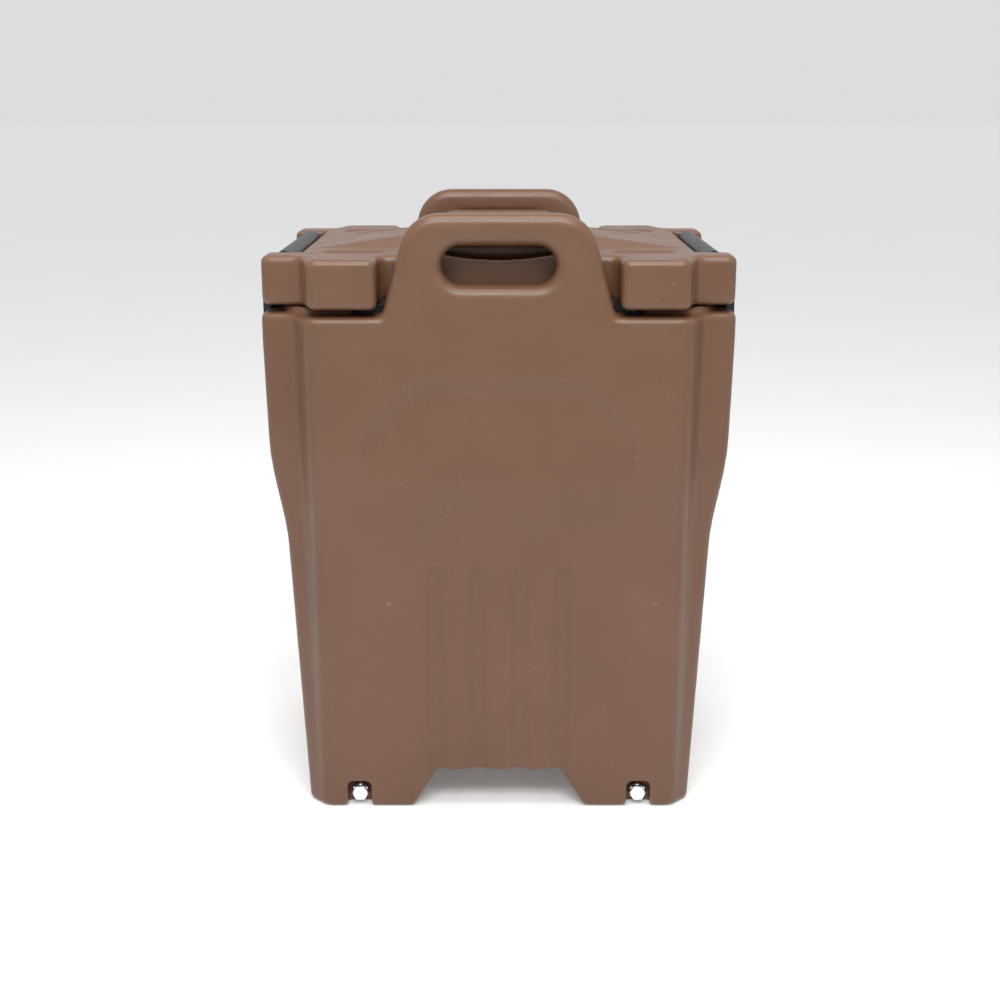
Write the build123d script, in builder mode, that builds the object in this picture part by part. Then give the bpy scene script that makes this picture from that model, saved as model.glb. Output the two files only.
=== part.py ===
from build123d import *
import os
from math import atan2, cos, degrees, radians, sin, sqrt, tan

# Insulated food carrier: a double-walled moulded body with two arch handles, a foam-filled
# lid held down by two wide side latches, and a quarter-turn vent in the lid.
# Millimetres, +Z up, origin on the floor under the middle of the body.
# The front face looks along -Y. Front and back, and left and right, mirror each other.

os.makedirs("parts", exist_ok=True)

# Body
RIM_Z = 590.0
BODY_HALF_X = 262.0
BODY_HALF_Y = 220.0
STRAIGHT_FROM_Z = 560.0
WAIST_LOW_Z = 322.0
WAIST_HIGH_Z = 448.0
UPPER_DRAFT = 0.026
LOWER_DRAFT = 0.04925
BASE_INSET = 35.0
PANEL_HALF = 206.0
WALL = 6.0
WALL_HEIGHTS = [310.0, 330.0, 350.0, 370.0, 390.0, 410.0, 430.0, 450.0, STRAIGHT_FROM_Z]
# Each corner of the plan: across to the hollow, back to the hollow, back to the side wall.
CORNER_AT_FLOOR = (9.0, 9.5, 21.0)
CORNER_AT_RIM = (20.0, 38.0, 44.0)
RADII_AT_FLOOR = (14.0, 30.0, 12.0)
RADII_AT_RIM = (14.0, 18.0, 11.0)
RIM_EDGE_R = 6.0
FOOT_EDGE_R = 6.0
FOOT_HEIGHTS = [0.0, 1.0, 3.0, FOOT_EDGE_R]

# Handles, one at the front and one at the back
HANDLE_TOP_Z = 700.0
HANDLE_THICK = 36.0
HANDLE_BASE_HALF = 126.5
HANDLE_TOP_HALF = 97.1
HANDLE_CORNER_R = 45.0
HANDLE_ROOT_R = 11.5
HANDLE_EDGE_R = 11.0
HANDLE_FLANGE = 22.0
HANDLE_SUNK = 30.0
RIDGE_X, RIDGE_Y, RIDGE_R, RIDGE_WIDTH, RIDGE_HEIGHT, RIDGE_EDGE_R = 476.0, 380.0, 48.0, 12.0, 7.0, 3.0
RIDGE_GAP_X, RIDGE_GAP_Y = 320.0, 200.0
SLOT_LENGTH = 123.5
SLOT_HEIGHT = 43.0
SLOT_Z = 645.5
SLOT_EDGE_R = 13.0

# Food cavity
CAVITY_X, CAVITY_Y, CAVITY_R = 366.0, 306.0, 45.0
CAVITY_FLOOR_Z = 86.0
CAVITY_TAPER = 0.9
CAVITY_FLOOR_R = 25.0

# Base
CHANNEL_HALF_LOW, CHANNEL_HALF_HIGH, CHANNEL_Z = 103.0, 72.0, 49.0
CHANNEL_R = 8.0
POCKET_CORNER_R, POCKET_CUT = 7.0, 40.0
POCKET_X, POCKET_WIDTH, POCKET_TOP_Z, POCKET_BACK_Y = 165.8, 28.0, 33.0, 168.0
BOLT_Z = 15.0
BOLT_R = 5.0
THREAD_GAP = 0.05
HEX_FLATS = 17.0
HEAD_THICK, NUT_THICK = 6.4, 6.0
INSERT_R, INSERT_LENGTH = 8.0, 34.0
BOSS_R = 15.0
HEAD_BEVEL, HEAD_BEVEL_ANGLE, SHANK_SHORT = 0.3, 60.0, 4.0

# Face relief
FLUTE_PITCH, FLUTE_R, FLUTE_DEPTH, FLUTE_TOP_Z = 48.5, 18.5, 4.0, 304.0
ARCH_HALF, ARCH_TOP_HALF = 157.0, 94.0
ARCH_LOW_Z, ARCH_SHOULDER_Z, ARCH_TOP_Z = 400.0, 468.0, 530.0
ARCH_DEPTH, ARCH_SIDE_BEVEL, ARCH_TOP_BEVEL, ARCH_CORNER_R = 7.0, 12.0, 26.0, 24.0

# Lid
LID_LOW_Z, LID_SEAT_Z, LID_TOP_Z = 598.0, 606.0, 652.0
LID_HALF_X = 260.5
LID_WALL_Y = 172.0
LID_CORNER_Y = 176.0
BLOCK_INNER_X, BLOCK_OUTER_X, BLOCK_Y, BLOCK_SLANT = 131.0, 204.0, 219.0, 13.0
LID_PLAN_R = 10.0
LID_EDGE_R = 7.0
SEAT_HALF_X, SEAT_R = 216.0, 30.0
PLUG_X, PLUG_Y, PLUG_R, PLUG_LOW_Z = 356.0, 296.0, 40.0, 575.0
ROOF_X, ROOF_Y = 424.0, 186.0
ROOF_TOP_X, ROOF_TOP_Y, ROOF_TOP_Z = 140.0, 80.0, 668.0
PAD_HALF_X, PAD_DEPTH, PAD_TOP_Z = 72.0, 44.0, 676.0
PAD_SUNK, PAD_SHOULDER_X, PAD_SHOULDER_Z, PAD_EDGE_R = 8.0, 10.0, 5.0, 3.0
SHELF_TRAY_X, SHELF_TRAY_Y, SHELF_TRAY_R, SHELF_TRAY_DEPTH = 73.0, 38.0, 14.0, 3.0
SHELF_TRAY_PITCH_X, SHELF_TRAY_PITCH_Y = 325.0, 260.0
ROOF_TRAY_X, ROOF_TRAY_Y, ROOF_TRAY_DEPTH = 143.0, 48.0, 2.5
ROOF_TRAY_LENGTH, ROOF_TRAY_WIDTH = 68.0, 15.0
LID_FOAM_HEIGHT = 30.0
SCOOP_HALF_X, SCOOP_DEPTH, SCOOP_LOW_Z, SCOOP_END_Z, SCOOP_TOP_Z = 62.0, 26.0, 647.0, 653.0, 662.0
SCOOP_SLANT = 4.0
GASKET_X, GASKET_Y, GASKET_R, GASKET_WIDTH = 406.0, 342.0, 50.0, 14.0
GROOVE_Z, GROOVE_HEIGHT, GROOVE_DEPTH = 5.5, 1.8, 2.5
PLUG_HOLE_R, PLUG_FLANGE_R, PLUG_FLANGE_THICK, PLUG_EDGE_R = 15.0, 20.0, 2.5, 1.2
LID_FILL_X = 110.0

# Side latches
PIVOT_X, PIVOT_Z = 260.2, 535.0
BARREL_R, PIN_R = 6.3, 3.0
PIN_RUNNING_GAP, PIN_FIXED_GAP = 0.08, 0.02
LATCH_IN_X, LATCH_OUT_X = 256.5, 266.5
LATCH_HALF_Y = 125.0
LEDGE_SLOPE = 0.5787
LEDGE_GAP = 0.6
HOOK_START = (251.5, 622.0)
HOOK_NOSE_X = 228.0
HOOK_NOSE_THICK, HOOK_ROOT_DROP = 5.0, 9.0
CROWN = [(230.0, 646.8), (235.0, 651.6), (242.0, 653.0), (249.0, 649.0), (255.5, 640.0), (261.0, 627.5)]
CROWN_FOOT = [(264.6, 614.0), (266.5, 600.0)]
LATCH_PANEL_YS, LATCH_PANEL_Z = (-78.0, 0.0, 78.0), 575.0
LATCH_PANEL_WIDTH, LATCH_PANEL_HEIGHT, LATCH_PANEL_R, LATCH_PANEL_DEPTH = 66.0, 38.0, 8.0, 2.0
LID_LEDGE_X, LID_RECESS_X, LID_RECESS_HALF_Y = 248.0, 221.0, 130.0
BODY_RECESS_X, BODY_RECESS_HALF_Y, BODY_RECESS_Z = 250.0, 131.0, 480.0
BRACKET_THICK, BRACKET_HALF_Y, BRACKET_LOW_Z, BRACKET_HIGH_Z = 3.2, 118.0, 492.0, 553.0
KNUCKLE_Y, KNUCKLE_LENGTH, KNUCKLE_GAP = 60.0, 30.0, 2.0
SCREW_YS, SCREW_Z = (-100.0, -30.0, 30.0, 100.0), 506.0
SCREW_R, SCREW_HEAD_R, SCREW_HEAD_THICK, SCREW_LENGTH = 2.5, 5.0, 3.2, 16.0
SCREW_INSERT_R, SCREW_INSERT_LENGTH = 4.5, 15.0
SCREW_CLEARANCE, SCREW_EDGE_R, SCREW_SOCKET_R, SCREW_SOCKET_DEPTH = 0.25, 1.6, 1.9, 2.0
SCREW_BOSS_WALL = 4.0
BODY_RECESS_R, BRACKET_R = 14.0, 8.0
PIN_SHORT, PIN_CHAMFER = 3.0, 0.6

# Vent
SLEEVE_R, SLEEVE_BORE_R, SLEEVE_FLANGE_R, SLEEVE_FLANGE_THICK = 15.0, 11.0, 23.0, 2.4
SEAL_THICK, SEAL_OUTER_R, SEAL_INNER_R = 1.2, 21.0, 17.0
CAP_R, CAP_TOP_Z, STEM_R, STEM_LOW_Z, STEM_BORE_R = 22.0, 680.0, 10.93, 650.0, 7.0
VENT_PORT_R = 1.0
GROOVE_ACROSS, GROOVE_DOWN, GROOVE_START_Y = 4.0, 1.4, 5.0
CAP_GAP, CAP_EDGE_R = 0.3, 1.2
GRIP_HEIGHT, GRIP_LENGTH, GRIP_WIDTH, GRIP_EDGE_R = 4.0, 36.0, 9.0, 1.5


def blend(z):
    """0 at the bottom of the waist and 1 at its top, with level ends."""
    t = min(max((z - WAIST_LOW_Z) / (WAIST_HIGH_Z - WAIST_LOW_Z), 0.0), 1.0)
    return t * t * (3.0 - 2.0 * t)


def inset(z):
    """How far the wall at height z stands inside the rim."""
    upper = UPPER_DRAFT * max(STRAIGHT_FROM_Z - z, 0.0)
    lower = BASE_INSET - LOWER_DRAFT * z
    return lower + (upper - lower) * blend(z)


def mirrored(quarter):
    """A closed outline from its quarter in +X +Y, listed from the front panel to the side."""
    right = [(x, -y) for x, y in quarter] + [(x, y) for x, y in reversed(quarter)]
    return right + [(-x, -y) for x, y in right]


def eased(at_floor, at_rim, z):
    """Matching sizes at height z, between those at the floor and those at the rim."""
    rise = min(z / STRAIGHT_FROM_Z, 1.0)
    return [low + (high - low) * rise for low, high in zip(at_floor, at_rim)]


def body_quarter(z, wall):
    """Corners of a quarter of the body's plan at height z, drawn in by a wall."""
    half_x = BODY_HALF_X - inset(z) - wall
    half_y = BODY_HALF_Y - inset(z) - wall
    across, hollow, side = eased(CORNER_AT_FLOOR, CORNER_AT_RIM, z)
    panel = PANEL_HALF - 0.8 * wall
    return [(panel, half_y), (panel + across, half_y - hollow), (half_x, half_y - side)]


def plan_sketch(z, wall=0.0):
    """The body's plan at height z: wide panels, and set-back corners that fade out downwards."""
    quarter = body_quarter(z, wall)
    with BuildSketch(Plane.XY.offset(z)) as plan:
        with BuildLine():
            Polyline(*mirrored(quarter), close=True)
        make_face()
        for (x, y), radius in zip(quarter, eased(RADII_AT_FLOOR, RADII_AT_RIM, z)):
            fillet([v for v in plan.vertices() if abs(abs(v.X) - x) + abs(abs(v.Y) - y) < 0.01], radius)
    return plan.sketch


def foot_rounding(z):
    """How far the rounding of the feet's lower edge draws the wall in at height z."""
    return FOOT_EDGE_R - sqrt(FOOT_EDGE_R**2 - max(FOOT_EDGE_R - z, 0.0) ** 2)


def side_plane(y):
    """A drawing plane square to Y, with X across and Z up, that looks towards -Y."""
    return Plane.XZ.offset(-y)


def both_sides(part, plane):
    """A part together with its mirror image."""
    return part + mirror(part, about=plane)


# ---------------------------------------------------------------- cutting tools and cores

with BuildPart() as cavity:
    with BuildSketch(Plane.XY.offset(RIM_Z)):
        RectangleRounded(CAVITY_X, CAVITY_Y, CAVITY_R)
    extrude(amount=-(RIM_Z - CAVITY_FLOOR_Z), taper=CAVITY_TAPER)
    fillet(cavity.faces().sort_by(Axis.Z)[0].edges(), CAVITY_FLOOR_R)

with BuildPart() as cavity_liner:
    with BuildSketch(Plane.XY.offset(RIM_Z)):
        RectangleRounded(CAVITY_X + 2 * WALL, CAVITY_Y + 2 * WALL, CAVITY_R + WALL)
    extrude(amount=-(RIM_Z - CAVITY_FLOOR_Z + WALL), taper=CAVITY_TAPER)
    fillet(cavity_liner.faces().sort_by(Axis.Z)[0].edges(), CAVITY_FLOOR_R)


def channel_sketch(wall, drop):
    """The base channel's section, grown by a wall and starting a drop below the floor."""
    with BuildSketch(side_plane(BODY_HALF_Y)) as section:
        with BuildLine():
            Polyline(
                (-CHANNEL_HALF_LOW - wall, -drop),
                (-CHANNEL_HALF_LOW - wall, 0.0),
                (-CHANNEL_HALF_HIGH - wall, CHANNEL_Z + wall),
                (CHANNEL_HALF_HIGH + wall, CHANNEL_Z + wall),
                (CHANNEL_HALF_LOW + wall, 0.0),
                (CHANNEL_HALF_LOW + wall, -drop),
                close=True,
            )
        make_face()
        fillet(section.vertices().group_by(Axis.Y)[-1], CHANNEL_R)
    return section.sketch


with BuildPart() as channel:
    extrude(channel_sketch(0.0, 1.0), amount=2 * BODY_HALF_Y)

with BuildPart() as channel_liner:
    extrude(channel_sketch(WALL, 1.0), amount=2 * BODY_HALF_Y)

# Four round flutes down the lower front, each a rod that leans with the wall and has a ball end.
FLUTE_LEAN = degrees(atan2(LOWER_DRAFT, 1.0))
FLUTE_OUT = FLUTE_R - FLUTE_DEPTH
FLUTE_BALL_Z = FLUTE_TOP_Z - 0.6 * FLUTE_R
with BuildPart() as front_flutes:
    for step in (-1.5, -0.5, 0.5, 1.5):
        face_y = BODY_HALF_Y - inset(FLUTE_BALL_Z)
        ball = Plane(
            origin=(step * FLUTE_PITCH, -(face_y + FLUTE_OUT), FLUTE_BALL_Z),
            z_dir=(0.0, sin(radians(FLUTE_LEAN)), -cos(radians(FLUTE_LEAN))),
        )
        with BuildSketch(ball):
            Circle(FLUTE_R)
        extrude(amount=1.1 * FLUTE_BALL_Z)
        with Locations(ball.origin):
            Sphere(FLUTE_R)
flutes = both_sides(front_flutes.part, Plane.XZ)

# A shallow arch-topped panel on the upper front, with long bevelled edges.
def arch_corners(side_bevel, top_bevel):
    """Corners of the arch panel's outline, drawn in by its bevels."""
    half = ARCH_HALF - side_bevel
    right = [
        (half, ARCH_LOW_Z),
        (half, ARCH_SHOULDER_Z - top_bevel / 2),
        (ARCH_TOP_HALF - side_bevel / 2, ARCH_TOP_Z - top_bevel),
    ]
    return right + [(-x, z) for x, z in reversed(right)]


with BuildPart() as front_arch:
    for offset_y, corners in (
        (BODY_HALF_Y, arch_corners(0.0, 0.0)),
        (BODY_HALF_Y - ARCH_DEPTH, arch_corners(ARCH_SIDE_BEVEL, ARCH_TOP_BEVEL)),
    ):
        with BuildSketch(side_plane(-offset_y)) as arch_face:
            with BuildLine():
                Polyline(*corners, close=True)
            make_face()
            fillet([v for v in arch_face.vertices() if v.Y > ARCH_LOW_Z + 1.0], ARCH_CORNER_R)
    loft(ruled=True)
arch_panels = both_sides(front_arch.part, Plane.XZ)

# Bolt pockets in the ends of the feet, and the bores for the inserts behind them.
with BuildPart() as front_pockets:
    with BuildSketch(side_plane(-POCKET_BACK_Y)) as pocket_section:
        for x in (-POCKET_X, POCKET_X):
            with Locations((x, POCKET_TOP_Z / 2 - 1.0)):
                Rectangle(POCKET_WIDTH, POCKET_TOP_Z + 2.0)
        fillet(pocket_section.vertices().group_by(Axis.Y)[-1], POCKET_CORNER_R)
    extrude(amount=POCKET_CUT)
    with BuildSketch(side_plane(-POCKET_BACK_Y)):
        with Locations((-POCKET_X, BOLT_Z), (POCKET_X, BOLT_Z)):
            Circle(INSERT_R)
    extrude(amount=-INSERT_LENGTH)
pockets = both_sides(front_pockets.part, Plane.XZ)

with BuildPart() as front_bosses:
    with BuildSketch(side_plane(-(POCKET_BACK_Y - WALL))):
        with Locations((-POCKET_X, BOLT_Z), (POCKET_X, BOLT_Z)):
            Rectangle(POCKET_WIDTH + 2 * WALL, 2 * (POCKET_TOP_Z - BOLT_Z + WALL))
    extrude(amount=60.0)
    with BuildSketch(side_plane(-POCKET_BACK_Y)):
        with Locations((-POCKET_X, BOLT_Z), (POCKET_X, BOLT_Z)):
            Circle(BOSS_R)
    extrude(amount=-(INSERT_LENGTH + WALL))
bosses = both_sides(front_bosses.part, Plane.XZ)

# The flat-bottomed recess down each side that the latch and its bracket lie in.
with BuildPart() as right_recess:
    with BuildSketch(Plane.YZ.offset(BODY_RECESS_X)) as recess_face:
        with Locations((0.0, (BODY_RECESS_Z + RIM_Z + 20.0) / 2)):
            Rectangle(2 * BODY_RECESS_HALF_Y, RIM_Z + 20.0 - BODY_RECESS_Z)
        fillet(recess_face.vertices().group_by(Axis.Y)[0], BODY_RECESS_R)
    extrude(amount=30.0)
side_recesses = both_sides(right_recess.part, Plane.YZ)

with BuildPart() as right_screw_bores:
    with BuildSketch(Plane.YZ.offset(BODY_RECESS_X)):
        with Locations(*[(y, SCREW_Z) for y in SCREW_YS]):
            Circle(SCREW_INSERT_R)
    extrude(amount=-SCREW_INSERT_LENGTH)
screw_bores = both_sides(right_screw_bores.part, Plane.YZ)

with BuildPart() as right_screw_bosses:
    with BuildSketch(Plane.YZ.offset(BODY_RECESS_X - WALL)):
        with Locations((0.0, (BODY_RECESS_Z + RIM_Z) / 2)):
            Rectangle(2 * (BODY_RECESS_HALF_Y + WALL), RIM_Z - BODY_RECESS_Z + 2 * WALL)
    extrude(amount=40.0)
    with BuildSketch(Plane.YZ.offset(BODY_RECESS_X)):
        with Locations(*[(y, SCREW_Z) for y in SCREW_YS]):
            Circle(SCREW_INSERT_R + SCREW_BOSS_WALL)
    extrude(amount=-(SCREW_INSERT_LENGTH + SCREW_BOSS_WALL))
screw_bosses = both_sides(right_screw_bosses.part, Plane.YZ)

# ---------------------------------------------------------------- body

# Foam fills the space between the outer skin and the cavity's liner.
FOAM_HEIGHTS = [WALL] + WALL_HEIGHTS + [RIM_Z - 2 * WALL]
with BuildPart() as body_foam:
    loft([plan_sketch(height, wall=1.5 * WALL).face() for height in FOAM_HEIGHTS], ruled=True)
    add(cavity_liner.part, mode=Mode.SUBTRACT)
    add(channel_liner.part, mode=Mode.SUBTRACT)
    add(bosses, mode=Mode.SUBTRACT)
    add(screw_bosses, mode=Mode.SUBTRACT)
body_foam.part.label = "body_foam"
export_step(body_foam.part, "parts/body_foam.step")


def near_slot(edge, margin):
    """Whether an edge's middle lies inside the hand slot's box grown by a margin."""
    middle = edge.center()
    return abs(middle.X) < SLOT_LENGTH / 2 + margin and abs(middle.Z - SLOT_Z) < SLOT_HEIGHT / 2 + margin


with BuildPart() as front_handle:
    with BuildSketch(side_plane(-(BODY_HALF_Y - HANDLE_THICK))) as handle_face:
        foot = HANDLE_BASE_HALF + HANDLE_FLANGE
        with BuildLine():
            Polyline(
                (-foot, RIM_Z - HANDLE_SUNK),
                (-foot, RIM_Z),
                (-HANDLE_BASE_HALF, RIM_Z),
                (-HANDLE_TOP_HALF, HANDLE_TOP_Z),
                (HANDLE_TOP_HALF, HANDLE_TOP_Z),
                (HANDLE_BASE_HALF, RIM_Z),
                (foot, RIM_Z),
                (foot, RIM_Z - HANDLE_SUNK),
                close=True,
            )
        make_face()
        fillet(handle_face.vertices().group_by(Axis.Y)[-1], HANDLE_CORNER_R)
        roots = [v for v in handle_face.vertices() if abs(abs(v.X) - HANDLE_BASE_HALF) < 0.1]
        fillet(roots, HANDLE_ROOT_R)
        with Locations((0.0, SLOT_Z)):
            SlotOverall(SLOT_LENGTH, SLOT_HEIGHT, mode=Mode.SUBTRACT)
    extrude(amount=HANDLE_THICK)
    slot_edges = [e for e in front_handle.faces().filter_by(Axis.Y).edges() if near_slot(e, 2.0)]
    fillet(slot_edges, SLOT_EDGE_R)
    rims = front_handle.faces().filter_by(Axis.Y).edges()
    fillet([e for e in rims if not near_slot(e, SLOT_EDGE_R + 2.0)], HANDLE_EDGE_R)
handles = both_sides(front_handle.part, Plane.XZ)

# Low ridges on the rim that wrap each corner outside the lid's gasket.
with BuildPart() as corner_ridges:
    with BuildSketch(Plane.XY.offset(RIM_Z)):
        RectangleRounded(RIDGE_X, RIDGE_Y, RIDGE_R)
        RectangleRounded(
            RIDGE_X - 2 * RIDGE_WIDTH, RIDGE_Y - 2 * RIDGE_WIDTH, RIDGE_R - RIDGE_WIDTH, mode=Mode.SUBTRACT
        )
        Rectangle(RIDGE_GAP_X, 2 * BODY_HALF_Y, mode=Mode.SUBTRACT)
        Rectangle(2 * BODY_HALF_X, RIDGE_GAP_Y, mode=Mode.SUBTRACT)
    extrude(amount=RIDGE_HEIGHT)
    fillet(corner_ridges.faces().group_by(Axis.Z)[-1].edges(), RIDGE_EDGE_R)

SHELL_HEIGHTS = FOOT_HEIGHTS + WALL_HEIGHTS + [RIM_Z]
with BuildPart() as body_shell:
    loft([plan_sketch(height, wall=foot_rounding(height)).face() for height in SHELL_HEIGHTS], ruled=True)
    fillet(body_shell.faces().sort_by(Axis.Z)[-1].edges(), RIM_EDGE_R)
    add(side_recesses, mode=Mode.SUBTRACT)
    add(handles)
    add(corner_ridges.part)
    add(arch_panels, mode=Mode.SUBTRACT)
    add(flutes, mode=Mode.SUBTRACT)
    add(channel.part, mode=Mode.SUBTRACT)
    add(pockets, mode=Mode.SUBTRACT)
    add(screw_bores, mode=Mode.SUBTRACT)
    add(cavity.part, mode=Mode.SUBTRACT)
    add(body_foam.part, mode=Mode.SUBTRACT)
    with Locations((0.0, 0.0, CHANNEL_Z - 1.0)):
        Cylinder(PLUG_HOLE_R, WALL + 1.0, align=(Align.CENTER, Align.CENTER, Align.MIN), mode=Mode.SUBTRACT)
body_shell.part.label = "body_shell"
export_step(body_shell.part, "parts/body_shell.step")

with BuildPart() as body_fill_plug:
    with Locations((0.0, 0.0, CHANNEL_Z - PLUG_FLANGE_THICK)):
        Cylinder(PLUG_FLANGE_R, PLUG_FLANGE_THICK, align=(Align.CENTER, Align.CENTER, Align.MIN))
    fillet(body_fill_plug.edges().group_by(Axis.Z)[0], PLUG_EDGE_R)
    with Locations((0.0, 0.0, CHANNEL_Z)):
        Cylinder(PLUG_HOLE_R, WALL, align=(Align.CENTER, Align.CENTER, Align.MIN))
body_fill_plug.part.label = "body_fill_plug"
export_step(body_fill_plug.part, "parts/body_fill_plug.step")

# ---------------------------------------------------------------- foot bolts


def hexagon_radius(flats):
    """Corner radius of a hexagon from its width across flats."""
    return flats / sqrt(3.0)


with BuildPart() as front_inserts:
    with BuildSketch(side_plane(-POCKET_BACK_Y)):
        with Locations((-POCKET_X, BOLT_Z), (POCKET_X, BOLT_Z)):
            Circle(INSERT_R)
            Circle(BOLT_R + THREAD_GAP, mode=Mode.SUBTRACT)
    extrude(amount=-INSERT_LENGTH)
foot_inserts = both_sides(front_inserts.part, Plane.XZ)
foot_inserts.label = "foot_inserts"
export_step(foot_inserts, "parts/foot_inserts.step")

with BuildPart() as front_nuts:
    with BuildSketch(side_plane(-POCKET_BACK_Y)):
        with Locations((-POCKET_X, BOLT_Z), (POCKET_X, BOLT_Z)):
            RegularPolygon(hexagon_radius(HEX_FLATS), 6, rotation=30)
            Circle(BOLT_R + THREAD_GAP, mode=Mode.SUBTRACT)
    extrude(amount=NUT_THICK)
foot_nuts = both_sides(front_nuts.part, Plane.XZ)
foot_nuts.label = "foot_nuts"
export_step(foot_nuts, "parts/foot_nuts.step")

HEAD_BACK_Y = POCKET_BACK_Y + NUT_THICK
with BuildPart() as front_bolts:
    with BuildSketch(side_plane(-HEAD_BACK_Y)):
        with Locations((-POCKET_X, BOLT_Z), (POCKET_X, BOLT_Z)):
            RegularPolygon(hexagon_radius(HEX_FLATS), 6)
    extrude(amount=HEAD_THICK)
    with BuildSketch(side_plane(-HEAD_BACK_Y - HEAD_THICK)):
        with Locations((-POCKET_X, BOLT_Z), (POCKET_X, BOLT_Z)):
            Circle(HEX_FLATS / 2 - HEAD_BEVEL)
    extrude(amount=-HEAD_THICK, taper=-HEAD_BEVEL_ANGLE, mode=Mode.INTERSECT)
    with BuildSketch(side_plane(-HEAD_BACK_Y)):
        with Locations((-POCKET_X, BOLT_Z), (POCKET_X, BOLT_Z)):
            Circle(BOLT_R)
    extrude(amount=-(NUT_THICK + INSERT_LENGTH - SHANK_SHORT))
foot_bolts = both_sides(front_bolts.part, Plane.XZ)
foot_bolts.label = "foot_bolts"
export_step(foot_bolts, "parts/foot_bolts.step")

# ---------------------------------------------------------------- side latches


def underside(x):
    """Height of the hook's sloping underside at x on the right-hand latch."""
    return HOOK_START[1] + LEDGE_SLOPE * (HOOK_START[0] - x)


def export_pair(right_part, name):
    """Write a right-hand piece and its mirror image on the left as two nodes."""
    left_part = mirror(right_part, about=Plane.YZ)
    for side, piece in (("right", right_part), ("left", left_part)):
        piece.label = f"{side}_{name}"
        export_step(piece, f"parts/{side}_{name}.step")


KNUCKLE_YS = (-KNUCKLE_Y, KNUCKLE_Y)

with BuildPart() as right_bracket:
    with BuildSketch(Plane.YZ.offset(BODY_RECESS_X)) as plate_face:
        with Locations((0.0, (BRACKET_LOW_Z + BRACKET_HIGH_Z) / 2)):
            RectangleRounded(2 * BRACKET_HALF_Y, BRACKET_HIGH_Z - BRACKET_LOW_Z, BRACKET_R)
        with Locations(*[(y, SCREW_Z) for y in SCREW_YS]):
            Circle(SCREW_R + SCREW_CLEARANCE, mode=Mode.SUBTRACT)
    extrude(amount=BRACKET_THICK)
    for y in KNUCKLE_YS:
        with BuildSketch(side_plane(y + KNUCKLE_LENGTH / 2)) as knuckle_face:
            with Locations((PIVOT_X, PIVOT_Z)):
                Circle(BARREL_R)
            with BuildLine():
                Polyline(
                    (BODY_RECESS_X + 1.0, PIVOT_Z - 13.0),
                    (PIVOT_X + 1.5, PIVOT_Z - BARREL_R),
                    (PIVOT_X, PIVOT_Z),
                    (PIVOT_X - 1.0, PIVOT_Z + BARREL_R),
                    (BODY_RECESS_X + 1.0, PIVOT_Z + 9.0),
                    close=True,
                )
            make_face()
            with Locations((PIVOT_X, PIVOT_Z)):
                Circle(PIN_R + PIN_FIXED_GAP, mode=Mode.SUBTRACT)
        extrude(amount=KNUCKLE_LENGTH)
export_pair(right_bracket.part, "latch_bracket")

with BuildPart() as right_bracket_inserts:
    with BuildSketch(Plane.YZ.offset(BODY_RECESS_X)):
        with Locations(*[(y, SCREW_Z) for y in SCREW_YS]):
            Circle(SCREW_INSERT_R)
            Circle(SCREW_R + THREAD_GAP, mode=Mode.SUBTRACT)
    extrude(amount=-SCREW_INSERT_LENGTH)
export_pair(right_bracket_inserts.part, "bracket_inserts")

with BuildPart() as right_bracket_screws:
    with BuildSketch(Plane.YZ.offset(BODY_RECESS_X + BRACKET_THICK)):
        with Locations(*[(y, SCREW_Z) for y in SCREW_YS]):
            Circle(SCREW_R)
    extrude(amount=-SCREW_LENGTH)
    with BuildSketch(Plane.YZ.offset(BODY_RECESS_X + BRACKET_THICK)):
        with Locations(*[(y, SCREW_Z) for y in SCREW_YS]):
            Circle(SCREW_HEAD_R)
    extrude(amount=SCREW_HEAD_THICK)
    fillet(right_bracket_screws.faces().sort_by(Axis.X)[-len(SCREW_YS):].edges(), SCREW_EDGE_R)
    with BuildSketch(Plane.YZ.offset(BODY_RECESS_X + BRACKET_THICK + SCREW_HEAD_THICK)):
        with Locations(*[(y, SCREW_Z) for y in SCREW_YS]):
            RegularPolygon(SCREW_SOCKET_R, 6)
    extrude(amount=-SCREW_SOCKET_DEPTH, mode=Mode.SUBTRACT)
export_pair(right_bracket_screws.part, "bracket_screws")

PIN_HALF_Y = LATCH_HALF_Y - PIN_SHORT
with BuildPart() as right_pin:
    with BuildSketch(side_plane(PIN_HALF_Y)):
        with Locations((PIVOT_X, PIVOT_Z)):
            Circle(PIN_R)
    extrude(amount=2 * PIN_HALF_Y)
    chamfer(right_pin.edges().filter_by(GeomType.CIRCLE), PIN_CHAMFER)
export_pair(right_pin.part, "latch_pin")

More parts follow.
